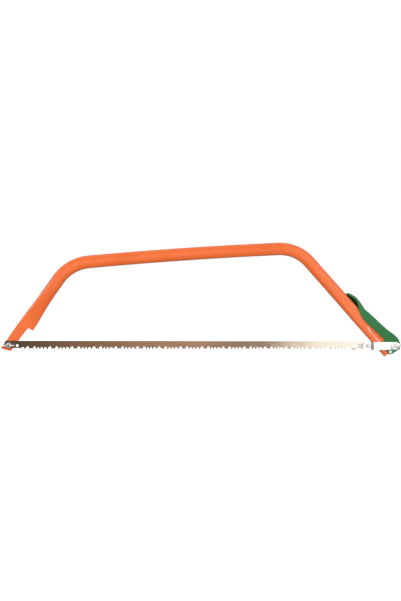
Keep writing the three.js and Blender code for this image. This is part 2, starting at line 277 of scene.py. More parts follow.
def addBump(tree, shader, layers, place=(-300, -400)):
    # layers of (node, output, strength, distance), stacked
    last = None
    for k, (source, outName, strength, distance) in enumerate(layers):
        bump = addNode(tree, "ShaderNodeBump", (place[0] + 180 * k, place[1] - 80 * k))
        bump.inputs["Strength"].default_value = strength
        bump.inputs["Distance"].default_value = distance
        tree.links.new(source.outputs[outName], bump.inputs["Height"])
        if last:
            link(tree, last, "Normal", bump, "Normal")
        last = bump
    link(tree, last, "Normal", shader, "Normal")


def enamel(name, colours, coat=0.5, rough=0.33, gloss=0.5):
    # stoved enamel on steel: slight colour drift, orange peel, fine scuffs in the gloss
    material, tree, shader = newMaterial(name)
    even = objectPattern(tree, (1, 1, 1), (-1400, 200))
    drift = noise(tree, even, 14, 4, 0.55, (-1150, 250))
    colour = ramp(tree, drift, [(0.32, colours[0]), (0.5, colours[1]), (0.68, colours[2])], (-950, 250))
    specks = noise(tree, even, 900, 2, 0.5, (-1150, 0))
    dust = ramp(tree, specks, [(0.66, (0, 0, 0)), (0.74, (1, 1, 1))], (-950, 0))
    dusted = blendColours(tree, dust, "Color", colour, colours[3], (-600, 250))
    tree.links.new(dusted.outputs[2], shader.inputs["Base Color"])
    slanted = objectPattern(tree, (0.25, 1, 3), (-1400, -250), (0, 0.4, 0))
    scuffs = noise(tree, slanted, 160, 6, 0.7, (-1150, -250))
    roughness = rangeOf(tree, scuffs, "Fac", rough - 0.07, rough + 0.12, (-700, -150), 0.35, 0.7)
    link(tree, roughness, "Result", shader, "Roughness")
    peel = noise(tree, even, 420, 2, 0.45, (-1150, -500))
    waves = noise(tree, even, 60, 2, 0.5, (-1150, -700))
    addBump(tree, shader, [(peel, "Fac", 0.08, 0.0003), (waves, "Fac", 0.10, 0.0012),
                           (scuffs, "Fac", 0.04, 0.0002)])
    shader.inputs["Coat Weight"].default_value = coat
    shader.inputs["Coat Roughness"].default_value = 0.09
    shader.inputs["Specular IOR Level"].default_value = gloss
    return material


def platedZinc(name, base=(0.80, 0.81, 0.83), rough=0.27, metal=1.0):
    # bright zinc plate: faint bluish and straw clouds, crystalline grain, handling marks
    material, tree, shader = newMaterial(name)
    even = objectPattern(tree, (1, 1, 1), (-1400, 200))
    clouds = noise(tree, even, 70, 5, 0.6, (-1150, 250))
    tinted = ramp(tree, clouds, [(0.3, (base[0] * 0.93, base[1] * 0.96, base[2])), (0.5, base),
                                 (0.72, (base[0], base[1] * 0.985, base[2] * 0.93))], (-950, 250))
    link(tree, tinted, "Color", shader, "Base Color")
    grain = addNode(tree, "ShaderNodeTexVoronoi", (-1150, 0), Scale=1500)
    link(tree, even, "Vector", grain, "Vector")
    lengthwise = objectPattern(tree, (0.15, 1, 1.5), (-1400, -250))
    streaks = noise(tree, lengthwise, 700, 5, 0.65, (-1150, -250))
    roughness = rangeOf(tree, streaks, "Fac", rough - 0.08, rough + 0.12, (-700, -150), 0.3, 0.7)
    link(tree, roughness, "Result", shader, "Roughness")
    shader.inputs["Metallic"].default_value = metal
    addBump(tree, shader, [(grain, "Distance", 0.08, 0.0002), (streaks, "Fac", 0.10, 0.0002)])
    return material


# heights are above the bolt's axis and lengths behind it, in metres
# entries for the blued points, the darker back edge, and painted shade round the spare holes
steelMarksAndShade = {"points": (-0.0080, -0.0030), "toothedTo": (0.730, 0.738), "backEdge": (0.0088, 0.0098),
              "spareHoleShade": [(0.0172, 0.0036, 0.6), (0.7446, 0.0042, 0.95)]}


def groundSteel(name):
    # rolled and polished blade steel: fine lengthwise grinding lines, a warm tint that is partly straw
    # colour from the hardening furnace and partly painted reflection of warm surroundings, smudges in
    # the polish
    material, tree, shader = newMaterial(name)
    even = objectPattern(tree, (1, 1, 1), (-1400, 300))
    along = objectPattern(tree, (0.02, 1, 1), (-1400, -200))
    smudge = noise(tree, even, 9, 5, 0.6, (-1150, 300))
    # warm tint: partly the steel's straw colour, partly painted reflection of brown surroundings
    tint = ramp(tree, smudge, [(0.3, (0.60, 0.535, 0.475)), (0.5, (0.69, 0.635, 0.58)),
                               (0.7, (0.74, 0.70, 0.66))], (-950, 300))
    lines = noise(tree, along, 2600, 3, 0.6, (-1150, -200))
    lined = ramp(tree, lines, [(0.3, (0.72, 0.72, 0.72)), (0.7, (1, 1, 1))], (-950, 0))
    colour = blendColours(tree, 0.35, None, tint, lined, (-600, 300), "MULTIPLY")
    # hardened tooth points are blued, and the rolled back edge is darker too
    coords = addNode(tree, "ShaderNodeTexCoord", (-1400, 700))
    split = addNode(tree, "ShaderNodeSeparateXYZ", (-1200, 700))
    link(tree, coords, "Object", split, "Vector")
    pointsFrom, pointsTo = steelMarksAndShade["points"]
    toothedFrom, toothedTo = steelMarksAndShade["toothedTo"]
    edgeFrom, edgeTo = steelMarksAndShade["backEdge"]
    low = rangeOf(tree, split, "Z", 0.85, 0.0, (-1000, 800), boltZ + pointsFrom, boltZ + pointsTo)
    toothed = rangeOf(tree, split, "X", 1.0, 0.0, (-1000, 1000), boltX + toothedFrom, boltX + toothedTo)
    points = addNode(tree, "ShaderNodeMath", (-800, 900))
    points.operation = "MULTIPLY"
    link(tree, low, "Result", points, 0)
    link(tree, toothed, "Result", points, 1)
    high = rangeOf(tree, split, "Z", 0.0, 0.5, (-1000, 600), boltZ + edgeFrom, boltZ + edgeTo)
    blued = blendColours(tree, points, "Value", colour, (0.20, 0.205, 0.22), (-400, 500))
    last = blendColours(tree, high, "Result", blued, (0.22, 0.20, 0.19), (-250, 500))
    # painted shade: dark discs round the two spare holes, fading out just past the rim, so the holes
    # read darker
    for at, reach, dark in steelMarksAndShade["spareHoleShade"]:
        away = addNode(tree, "ShaderNodeVectorMath", (-1200, 1200))
        away.operation = "DISTANCE"
        link(tree, coords, "Object", away, 0)
        away.inputs[1].default_value = (boltX + at, 0, boltZ)
        ring = rangeOf(tree, away, "Value", dark, 0.0, (-1000, 1200), reach - 0.0005, reach + 0.0005)
        last = blendColours(tree, ring, "Result", last, (0.05, 0.048, 0.045), (-100, 700))
    tree.links.new(last.outputs[2], shader.inputs["Base Color"])
    roughness = rangeOf(tree, smudge, "Fac", 0.14, 0.24, (-700, -100), 0.3, 0.7)
    link(tree, roughness, "Result", shader, "Roughness")
    shader.inputs["Metallic"].default_value = 1.0
    addBump(tree, shader, [(lines, "Fac", 0.12, 0.0002)])
    return material


def bareSteel(name):
    # inside walls: dull bare steel with rust bloom, seen at the tube's open end
    material, tree, shader = newMaterial(name)
    even = objectPattern(tree, (1, 1, 1), (-1400, 200))
    bloom = noise(tree, even, 120, 6, 0.65, (-1150, 200))
    colour = ramp(tree, bloom, [(0.35, (0.10, 0.095, 0.09)), (0.6, (0.16, 0.13, 0.11)),
                                (0.75, (0.20, 0.10, 0.05))], (-950, 200))
    link(tree, colour, "Color", shader, "Base Color")
    roughness = rangeOf(tree, bloom, "Fac", 0.45, 0.8, (-700, -100), 0.3, 0.7)
    link(tree, roughness, "Result", shader, "Roughness")
    shader.inputs["Metallic"].default_value = 0.7
    addBump(tree, shader, [(bloom, "Fac", 0.3, 0.0003)])
    return material


orangeEnamel = enamel("orangeEnamel", [(0.80, 0.134, 0.020), (0.85, 0.148, 0.024),
                                       (0.89, 0.168, 0.033), (0.64, 0.090, 0.016)])
greenEnamel = enamel("greenEnamel", [(0.004, 0.125, 0.022), (0.007, 0.150, 0.032),
                                     (0.013, 0.178, 0.046), (0.004, 0.09, 0.016)], 0.25, 0.36, 0.3)
# the lever's green darkened to near black for the channel's inner walls: painted shade inside the
# channel
greenInsideShade = enamel("greenInsideShade", [(0.003, 0.016, 0.008), (0.004, 0.022, 0.010),
                                     (0.006, 0.030, 0.014), (0.002, 0.01, 0.005)], 0.1, 0.6)
bladeSteel = groundSteel("bladeSteel")
zincPlate = platedZinc("zincPlate")
zincBolt = platedZinc("zincBolt", (0.66, 0.67, 0.69), 0.34)
zincCast = platedZinc("zincCast", (0.95, 0.96, 0.97), 0.40, 0.1)
innerSteel = bareSteel("innerSteel")
print("materials ready")

# camera, light and floor

cameraSet = {"turn": -6.01, "rise": -1.80, "roll": 0.22, "away": 1.6, "target": (397.01, 0, 95.7),
             "lens": 45.2}


def placeCamera():
    turn = math.radians(cameraSet["turn"])
    rise = math.radians(cameraSet["rise"])
    target = mm(*cameraSet["target"])
    toward = Vector((math.sin(turn) * math.cos(rise), -math.cos(turn) * math.cos(rise), math.sin(rise)))
    deselectAll()
    bpy.ops.object.camera_add(location=target + toward * cameraSet["away"])
    camera = bpy.context.object
    camera.name = "viewCamera"
    look = (-toward).to_track_quat("-Z", "Y")
    camera.rotation_euler = look.to_euler()
    camera.rotation_euler.rotate_axis("Z", math.radians(cameraSet["roll"]))
    camera.data.lens = cameraSet["lens"]
    camera.data.sensor_width = 36
    camera.data.clip_start = 0.01
    bpy.context.scene.camera = camera


def placeFloor():
    deselectAll()
    bpy.ops.mesh.primitive_plane_add(size=30, location=(0, 0, 0))
    floor = bpy.context.object
    floor.name = "studioFloor"
    material, tree, shader = newMaterial("floorPaper")
    shader.inputs["Base Color"].default_value = (0.9, 0.9, 0.9, 1)
    shader.inputs["Roughness"].default_value = 0.9
    shader.inputs["Emission Color"].default_value = (0.9, 0.9, 0.9, 1)
    shader.inputs["Emission Strength"].default_value = 1.0
    floor.data.materials.append(material)
    floor.visible_glossy = False
    floor.visible_diffuse = False


# a warm, darker card in front of the saw that only its reflections see
cardSet = {"y": -0.35, "left": -1.4, "right": 0.585, "low": -0.5, "high": 0.6,
           "stops": [(-0.45, (0.12, 0.09, 0.07)), (-0.25, (0.35, 0.20, 0.12)),
                     (0.0, (0.65, 0.42, 0.28)), (0.2, (0.36, 0.25, 0.20)),
                     (0.3, (1.2, 1.05, 0.8)), (0.35, (1.5, 1.5, 1.45))]}


def placeCard():
    deselectAll()
    bpy.ops.mesh.primitive_plane_add(size=1, location=(0, 0, 0))
    card = bpy.context.object
    card.name = "reflectionCard"
    width = cardSet["right"] - cardSet["left"]
    height = cardSet["high"] - cardSet["low"]
    editMode()
    bpy.ops.mesh.select_all(action="SELECT")
    bpy.ops.transform.rotate(value=math.radians(90), orient_axis="X", center_override=(0, 0, 0))
    bpy.ops.transform.resize(value=(width, 1, height), center_override=(0, 0, 0))
    bpy.ops.transform.translate(value=(cardSet["left"] + width / 2, cardSet["y"],
                                       cardSet["low"] + height / 2))
    objectMode()
    material = bpy.data.materials.new("cardGradient")
    material.use_nodes = True
    tree = material.node_tree
    tree.nodes.clear()
    out = addNode(tree, "ShaderNodeOutputMaterial", (400, 0))
    glow = addNode(tree, "ShaderNodeEmission", (200, 0))
    coords = addNode(tree, "ShaderNodeTexCoord", (-800, 0))
    split = addNode(tree, "ShaderNodeSeparateXYZ", (-600, 0))
    link(tree, coords, "Object", split, "Vector")
    first = cardSet["stops"][0][0]
    last = cardSet["stops"][-1][0]
    spread = rangeOf(tree, split, "X", 0, 1, (-400, 0), first, last)
    stops = [((x - first) / (last - first), colour) for x, colour in cardSet["stops"]]
    shade = ramp(tree, spread, stops, (-200, 0), "Result")
    link(tree, shade, "Color", glow, "Color")
    glow.inputs["Strength"].default_value = 1.0
    link(tree, glow, "Emission", out, "Surface")
    card.data.materials.append(material)
    card.visible_camera = False
    card.visible_diffuse = False
    card.visible_shadow = False
    card.visible_transmission = False


# name, place, aim, size, watts, and whether reflections see it
lamps = [("keyBox", (-0.3, -2.3, 0.4), (0, 0, 0.1), (1.8, 1.0), 38, False),
         ("rightBox", (1.6, -0.92, 0.45), (0.3, 0, 0.08), (0.45, 0.45), 8, True),
         ("leftBox", (-1.5, -1.0, 0.75), (-0.35, 0, 0.1), (0.45, 0.5), 9, True),
         ("backBox", (0.2, 2.4, 0.7), (0, 0, 0.1), (1.6, 1.0), 22, False),
         ("topBox", (-0.1, -0.5, 2.0), (0, 0, 0.1), (2.4, 0.7), 6, True)]


def softBox(name, place, aim, size, power, shines):
    deselectAll()
    bpy.ops.object.light_add(type="AREA", location=place)
    lamp = bpy.context.object
    lamp.name = name
    lamp.data.shape = "RECTANGLE"
    lamp.data.size = size[0]
    lamp.data.size_y = size[1]
    lamp.data.energy = power
    lamp.visible_glossy = shines
    lamp.rotation_euler = (Vector(aim) - Vector(place)).to_track_quat("-Z", "Y").to_euler()


def whiteLight(tree, place, strength):
    return addNode(tree, "ShaderNodeBackground", place, Color=(1, 1, 1, 1), Strength=strength)


def lightStudio():
    # white all round: dim for lighting, brighter in reflections, paper white behind the saw
    world = bpy.data.worlds.new("studioWhite")
    bpy.context.scene.world = world
    world.use_nodes = True
    tree = world.node_tree
    tree.nodes.clear()
    fill = whiteLight(tree, (0, 100), 0.2)
    shine = whiteLight(tree, (0, -80), 0.42)
    seen = whiteLight(tree, (0, -200), 1.0)
    path = addNode(tree, "ShaderNodeLightPath", (-300, 200))
    soft = addNode(tree, "ShaderNodeMixShader", (100, 60))
    mix = addNode(tree, "ShaderNodeMixShader", (200, 0))
    out = addNode(tree, "ShaderNodeOutputWorld", (400, 0))
    link(tree, path, "Is Camera Ray", mix, "Fac")
    link(tree, path, "Is Glossy Ray", soft, "Fac")
    link(tree, fill, "Background", soft, 1)
    link(tree, shine, "Background", soft, 2)
    link(tree, soft, "Shader", mix, 1)
    link(tree, seen, "Background", mix, 2)
    link(tree, mix, "Shader", out, "Surface")
    for lamp in lamps:
        softBox(*lamp)
    bpy.context.scene.view_settings.view_transform = "Standard"
    bpy.context.scene.view_settings.look = "None"


placeCamera()
placeFloor()
placeCard()
lightStudio()
print("stage ready")

# bow tube

tube = {"start": (25.46, 28.55), "frontSlope": 55.8, "frontLeg": 131.3, "frontRadius": 87.2,
        "topSlope": (6.0, 3.3), "topBar": 404.4, "rearRadius": 84.2, "rearSlope": -47.7,
        "rearLeg": 262.2, "depth": 26.76, "thick": 14.4, "wall": 1.3, "tongueThick": 3.0,
        "tongueShift": 2.25, "tongueRun": 60, "boltHole": 3.4, "sides": 96,
        "seatLength": 104, "seatRidge": (4.0, -0.25, -6.5), "seatHeight": 6.75, "seatFall": 0.335,
        "seatFloor": (6.9, 2.5, 40), "creaseSpan": (14, 72), "creaseAt": (13.4, 19, 0.10),
        "creaseFall": 0.428}


def smoothStep(v, a, b):
    t = min(max((v - a) / (b - a), 0), 1)
    return t * t * (3 - 2 * t)


def tubeStations():
    # centre line walked in short steps, closer together where the section changes
    slopeA, slopeB = tube["topSlope"]
    turnA = tube["frontSlope"] - slopeA
    turnB = slopeB - tube["rearSlope"]
    frontBend = tube["frontRadius"] * math.radians(turnA)
    rearBend = tube["rearRadius"] * math.radians(turnB)
    parts = [(tube["frontLeg"], 0, 44), (frontBend, -turnA, 34), (tube["topBar"], slopeB - slopeA, 26),
             (rearBend, -turnB, 34), (tube["rearLeg"], 0, 60)]
    heading = math.radians(tube["frontSlope"])
    x, z = tube["start"]
    stations = []
    for k in range(16, 0, -1):   # the tongue runs on below the start
        d = -tube["tongueRun"] * k / 16
        stations.append((x + d * math.cos(heading), z + d * math.sin(heading), heading, d))
    s = 0
    stations.append((x, z, heading, s))
    for length, turn, steps in parts:
        ds = length / steps
        dh = math.radians(turn / steps)
        for k in range(steps):
            x += ds * math.cos(heading + dh / 2)
            z += ds * math.sin(heading + dh / 2)
            heading += dh
            s += ds
            stations.append((x, z, heading, s))
    return stations


def tubeSection(s, total):
    front = 1 - smoothStep(s, 16, 118)
    rear = smoothStep(s, total - 200, total - 50)
    half = tube["depth"] / 2 + 3.25 * front * front + 0.7 * rear
    thick = tube["thick"] / 2 + (tube["tongueThick"] - tube["thick"]) / 2 * front - 1.2 * rear
    power = 2.3 + 5 * front ** 3 + 0.6 * rear
    return half, thick, tube["tongueShift"] * front, power, -0.98 * front * front


def pressedBy(s, total, u, near):
    # height limit where the sides are pressed: slanted seats for the lever's cheeks at the rear,
    # and the crease where the near wall folds over to the outer edge at the front
    limit = 100.0
    seat = tube["seatLength"] - (total - s)
    ridgeStart, ridgeDrift, ridgeEnd = tube["seatRidge"]
    ridge = max(ridgeStart + seat * ridgeDrift, ridgeEnd)
    if seat > 0 and u > ridge:
        floorStart, floorDrop, floorRun = tube["seatFloor"]
        floor = floorStart - floorDrop * smoothStep(seat, 0, floorRun)
        limit = max(tube["seatHeight"] - tube["seatFall"] * (u - ridge), floor)
    creaseFrom, creaseTo = tube["creaseSpan"]
    creaseAcross, creaseStart, creaseDrift = tube["creaseAt"]
    crease = creaseAcross - creaseDrift * (s - creaseStart)
    if near and creaseFrom < s < creaseTo and u > crease:
        limit = tubeSection(s, total)[1] - tube["creaseFall"] * (u - crease)
    return limit


def onFrontLeg(along, across):
    h = math.radians(tube["frontSlope"])
    return (tube["start"][0] + along * math.cos(h) - across * math.sin(h),
            tube["start"][1] + along * math.sin(h) + across * math.cos(h))


def arcPoints(cx, cz, r, a0, a1, steps):
    return [(cx + r * math.cos(math.radians(a0 + (a1 - a0) * k / steps)),
             cz + r * math.sin(math.radians(a0 + (a1 - a0) * k / steps))) for k in range(steps + 1)]


def makeTube(name, inset=0.0, fromS=-60.0, past=0.0):
    # a ring at every station, closed with a face at both ends
    stations = tubeStations()
    total = stations[-1][3]
    stations = [st for st in stations if st[3] >= fromS]
    if past:
        x, z, heading, s = stations[-1]
        stations.append((x + past * math.cos(heading), z + past * math.sin(heading), heading, s))
    deselectAll()
    bpy.ops.mesh.primitive_circle_add(vertices=tube["sides"], radius=0.01, location=(0, 0, 0))
    obj = bpy.context.object
    obj.name = obj.data.name = name
    editMode()
    bm = bmesh.from_edit_mesh(obj.data)
    turnLayer = bm.verts.layers.float.new("turn")
    for v in bm.verts:
        v[turnLayer] = math.atan2(v.co.y, v.co.x)
    bmesh.update_edit_mesh(obj.data)
    for k, (x, z, heading, s) in enumerate(stations):
        if k:
            bpy.ops.mesh.extrude_region_move()
        half, thick, shift, power, across = tubeSection(s, total)
        half -= inset
        thick = max(thick - inset, 0.25)
        nx, nz = -math.sin(heading), math.cos(heading)
        bm = bmesh.from_edit_mesh(obj.data)
        layer = bm.verts.layers.float["turn"]
        for v in bm.verts:
            if v.select:
                c, d = math.cos(v[layer]), math.sin(v[layer])
                u = across + half * math.copysign(abs(c) ** (2 / power), c)
                w = thick * abs(d) ** (2 / power)
                w = math.copysign(min(w, max(pressedBy(s, total, u, d < 0) - inset, 0.2)), d)
                v.co = mm(x + nx * u, shift + w, z + nz * u)
        bmesh.update_edit_mesh(obj.data)
    ends = [mm(stations[0][0], 0, stations[0][1]), mm(stations[-1][0], 0, stations[-1][1])]
    for end in ends:
        pick("EDGE", lambda e: e.is_boundary and (midOf(e) - end).length < 0.03)
        bpy.ops.mesh.edge_face_add()
    bpy.ops.mesh.select_all(action="SELECT")
    bpy.ops.mesh.normals_make_consistent(inside=False)
    objectMode()
    return obj


def giveSlots(obj, materials, index):
    # material slots first, so that a boolean keeps the inner wall's own material: bare steel in the
    # tube, painted shade in the lever
    obj.data.materials.clear()
    for m in materials:
        obj.data.materials.append(m)
    obj.data.polygons.foreach_set("material_index", [index] * len(obj.data.polygons))


def trimTube(obj):
    # the pressed end is trimmed to a strap with rounded corners and a notch above the blade
    along = [(14.4, -45), (14.4, -14.4)]
    along += arcPoints(11.4, -10.0, 3.0, 35, 75, 4)
    along += [(11.6, -7.0), (7.6, -6.0), (-15, -5.4), (-41, -5.0)]
    along += arcPoints(-42.6, -0.9, 4.1, -92, -165, 6)
    along += [(-50.8, 10.4)] + arcPoints(-49.4, 14.0, 2.2, 180, 100, 4)
    along += [(-48.6, 18), (-48.6, 60), (-90, 60), (-90, -45)]
    trim = [onFrontLeg(a, b) for a, b in along]
    points = [mm(x, -20, z) for x, z in trim]
    cutWith(obj, plateFrom("tongueTrim", points, 40))
    points = [mm(x, -20, z) for x, z in arcPoints(0, 0, tube["boltHole"], 0, 345, 23)]
    cutWith(obj, plateFrom("boltHole", points, 40))
    points = [mm(x, -20, z) for x, z in arcPoints(*fulcrumAt, 3.05, 0, 345, 23)]
    cutWith(obj, plateFrom("pinNotch", points, 40))
    # narrow slot that clears the rounded rear end of the blade
    points = [mm(x, -1.2, z) for x, z in arcPoints(*bladeEndAt, bladeEndRadius + 0.8, 0, 350, 35)]
    cutWith(obj, plateFrom("bladeSlot", points, 2.4))


tubeFinish = [orangeEnamel, innerSteel]
bowTube = makeTube("bowTube")
giveSlots(bowTube, tubeFinish, 0)
tubeBore = makeTube("tubeBore", tube["wall"], 26, 6)
giveSlots(tubeBore, tubeFinish, 1)
cutWith(bowTube, tubeBore)
trimTube(bowTube)
smoothShade(bowTube, 40)
finishPiece(bowTube, tubeFinish, "frame", ["bow_tube"])

# saw blade

blade = {"span": 762, "thick": 0.9, "top": 10.0, "root": -3.2, "tip": -8.2, "period": 45.28,
         "groups": 15, "teeth": (0.25, 0.395, 0.548, 0.735), "firstTooth": 0.72, "toothWidth": 4.6,
         "set": 0.3, "gulletAt": 6.7, "gulletRadius": 1.9, "boltHole": 3.4, "spareHole": 2.6,
         "frontHole": 17.2, "rearHole": 744.6, "slot": (757.9, 771.1, 3.6)}


def toothAt(x):
    # one cutting tooth, root to root
    root, tip, w = blade["root"] - 0.5, blade["tip"], blade["toothWidth"]
    return [(x - w / 2, root), (x - w * 0.4, root - 0.7), (x - w * 0.3, tip + 1.9), (x - 0.15, tip),
            (x + 0.15, tip), (x + w * 0.3, tip + 1.9), (x + w * 0.4, root - 0.7), (x + w / 2, root)]


def toothLine():
    # a raker between its two gullets and the four cutting teeth after it, left to right
    root, tip = blade["root"], blade["tip"]
    at, radius = blade["gulletAt"], blade["gulletRadius"]
    points = arcPoints(-at, root - 0.4, radius, 180, 0, 8)
    points += [(-4.2, root - 1.4), (-3.0, tip + 0.5), (-2.0, tip + 1.2), (-1.0, tip + 2.4),
               (1.0, tip + 2.4), (2.0, tip + 1.2), (3.0, tip + 0.5), (4.2, root - 1.4)]
    points += arcPoints(at, root - 0.4, radius, 180, 0, 8)
    for offset in blade["teeth"]:
        points += toothAt(offset * blade["period"])
    points.append((blade["period"] - at - radius, root - 0.4))
    return points


def makeBlade():
    # one pitch of the tooth line is repeated, then the two plain ends are joined on
    y = -blade["thick"] / 2
    start = blade["period"]
    at = -blade["gulletAt"] - blade["gulletRadius"]
    line = [(start + x, z) for x, z in toothLine()]
    outline = [(line[0][0], blade["top"])] + line + [(line[-1][0], blade["top"])]
    obj = drawOutline("sawBlade", [mm(x, y, z) for x, z in outline])
    objectMode()
    makeActive(obj)
    mod = obj.modifiers.new("Repeat", "ARRAY")
    mod.use_relative_offset = False
    mod.use_constant_offset = True
    mod.constant_offset_displace = (blade["period"] / 1000, 0, 0)
    mod.count = blade["groups"]
    mod.use_merge_vertices = True
    mod.merge_threshold = 0.00001
    bpy.ops.object.modifier_apply(modifier=mod.name)
    lastX = blade["period"] * (blade["groups"] + 1) + at
    rear = [(lastX, blade["top"]), (lastX, blade["root"] - 0.4), (722, blade["root"]), (728, -8.8)]
    rear += arcPoints(*bladeEndAt, bladeEndRadius, -90, 90, 14)
    front = [(start + at, blade["top"]), (-5, blade["top"])] + arcPoints(-5, 6, 4, 90, 180, 5)[1:]
    front += [(-9, -0.6)] + arcPoints(-4.4, -0.6, 4.6, 180, 270, 5)[1:]
    front += [(23, -5.2), (26, -5.0), (28.6, blade["root"])]
    front += toothAt(blade["firstTooth"] * blade["period"]) + [(start + at, blade["root"] - 0.4)]
    ends = []
    for name, points in (("rearEnd", rear), ("frontEnd", front)):
        ends.append(drawOutline(name, [mm(x, y, z) for x, z in points]))
        objectMode()
    makeActive(obj)
    for end in ends:
        end.select_set(True)
    bpy.ops.object.join()
    editMode()
    bpy.ops.mesh.select_mode(type="VERT")
    bpy.ops.mesh.select_all(action="SELECT")
    bpy.ops.mesh.remove_doubles(threshold=0.00002)
    bpy.ops.mesh.select_all(action="SELECT")
    push(Vector((0, blade["thick"] / 1000, 0)))
    bpy.ops.mesh.select_all(action="SELECT")
    bpy.ops.mesh.normals_make_consistent(inside=False)
    objectMode()
    return obj


def fileTeeth(obj):
    # each cutting tooth is filed back on one face, and its point is set to the other side
    makeActive(obj)
    editMode()
    side = 1
    tipZ = mm(0, 0, blade["tip"] + 0.3).z
    midZ = mm(0, 0, blade["tip"] + 2.1).z
    places = [blade["firstTooth"] * blade["period"]]
    for k in range(1, blade["groups"] + 1):
        places += [(k + offset) * blade["period"] for offset in blade["teeth"]]
    for x in places:
        side = -side
        centre = mm(x, 0, 0).x
        setBy = side * blade["set"] / 1000
        pick("VERT", lambda v: abs(v.co.x - centre) < 0.0005 and v.co.z < tipZ)
        bpy.ops.transform.translate(value=(0, setBy, 0))
        pick("VERT", lambda v: abs(v.co.x - centre) < 0.0005 and v.co.z < tipZ
             and (v.co.y - setBy) * side < 0)
        bpy.ops.transform.translate(value=(0, 0, 0.0009))
        pick("VERT", lambda v: 0.001 < abs(v.co.x - centre) < 0.0015 and v.co.z < midZ
             and v.co.y * side < 0)
        bpy.ops.transform.resize(value=(0.62, 1, 1), center_override=mm(x, 0, 0))
    objectMode()


sawBlade = makeBlade()
fileTeeth(sawBlade)
holes = [(0, blade["boltHole"]), (blade["frontHole"], blade["spareHole"]),
         (blade["rearHole"], blade["spareHole"])]
for holeX, holeR in holes:
    rim = [mm(x, -10, z) for x, z in arcPoints(holeX, 0, holeR, 0, 348.75, 31)]
    cutWith(sawBlade, plateFrom("holePunch", rim, 20))
slotLeft, slotRight, slotHalf = blade["slot"]
rim = arcPoints(slotRight - slotHalf, 0, slotHalf, -90, 90, 12)
rim += arcPoints(slotLeft + slotHalf, 0, slotHalf, 90, 270, 12)
cutWith(sawBlade, plateFrom("slotPunch", [mm(x, -10, z) for x, z in rim], 20))
easeEdges(sawBlade, 0.09, 1, 50)
smoothShade(sawBlade, 30)
finishPiece(sawBlade, bladeSteel, "blade", ["saw_blade"])

# front bolt, washers and wing nut

bolt = {"radius": 2.95, "headAcross": 10, "headHeight": 4, "washer": 1.2, "gap": 0.3, "pitch": 1.0,
        "nutBase": -2.25, "headStart": 5.55, "tipPast": 8.4}


def makeWasher(name, outer, inner, y0, body, node):
    c = 0.18
    y1 = y0 + bolt["washer"]
    profile = [(inner, y0), (outer - c, y0), (outer, y0 + c), (outer, y1 - c), (outer - c, y1),
               (inner, y1), (inner, y0)]
    obj = spinProfile(name, profile, 0, 0)
    easeEdges(obj, 0.08, 2)
    smoothShade(obj)
    finishPiece(obj, zincPlate, body, [node])


def makeBolt():
    # hex head from a six-sided cylinder, chamfered, with a threaded shank joined to it
    headMid = bolt["headStart"] + bolt["headHeight"] / 2
    deselectAll()
    bpy.ops.mesh.primitive_cylinder_add(vertices=6, radius=bolt["headAcross"] / math.sqrt(3) / 1000,
                                        depth=bolt["headHeight"] / 1000, location=(0, 0, 0))
    obj = bpy.context.object
    obj.name = obj.data.name = "frontBolt"
    editMode()
    bpy.ops.mesh.select_all(action="SELECT")
    bpy.ops.transform.rotate(value=math.radians(90), orient_axis="X", center_override=(0, 0, 0))
    bpy.ops.transform.translate(value=mm(0, headMid, 0))
    back = mm(0, bolt["headStart"] + bolt["headHeight"], 0).y
    pick("FACE", lambda f: abs(midOf(f).y - back) < 0.00002)
    bpy.ops.mesh.inset(thickness=0.0006)
    bpy.ops.transform.translate(value=(0, 0.00002, 0))
    pick("EDGE", lambda e: all(abs(v.co.y - back) < 0.00001 for v in e.verts))
    bpy.ops.mesh.bevel(offset=0.0005, segments=2)
    objectMode()
    core = bolt["radius"] - 0.35
    tip = bolt["nutBase"] - bolt["tipPast"]
    shank = [(0, tip), (core - 0.5, tip), (core, tip + 0.6), (core, -1.0), (bolt["radius"], -0.6),
             (bolt["radius"], bolt["headStart"] + 1), (0, bolt["headStart"] + 1)]
    shank = spinProfile("boltShank", shank, 0, 0, 40)
    cutWith(obj, shank, "UNION")
    # the thread is a ridge wound up the shank by the screw modifier
    turns = int((-1.4 - tip) / bolt["pitch"])
    y = tip + 0.5
    ridge = [(core - 0.12, y), (core + 0.02, y + 0.12), (bolt["radius"] - 0.04, y + 0.42),
             (bolt["radius"] - 0.04, y + 0.5), (core + 0.02, y + 0.8), (core - 0.12, y + 0.92)]
    thread = drawLine("boltThread", [mm(r, yy, 0) for r, yy in ridge])
    objectMode()
    makeActive(thread)
    shift = mm(0, 0, 0)
    for v in thread.data.vertices:
        v.co = v.co - shift
    mod = thread.modifiers.new("Wind", "SCREW")
    mod.axis = "Y"
    mod.angle = 2 * math.pi * turns
    mod.screw_offset = bolt["pitch"] / 1000 * turns
    mod.steps = 28 * turns
    mod.render_steps = 28 * turns
    bpy.ops.object.modifier_apply(modifier=mod.name)
    for v in thread.data.vertices:
        v.co = v.co + shift
    editMode()
    bpy.ops.mesh.select_mode(type="EDGE")
    bpy.ops.mesh.select_all(action="SELECT")
    bpy.ops.mesh.region_to_loop()
    bpy.ops.mesh.select_all(action="SELECT")
    bpy.ops.mesh.fill_holes(sides=0)
    bpy.ops.mesh.select_all(action="SELECT")
    bpy.ops.mesh.normals_make_consistent(inside=False)
    objectMode()
    makeActive(obj)
    thread.select_set(True)
    bpy.ops.object.join()
    smoothShade(obj, 30)
    return obj


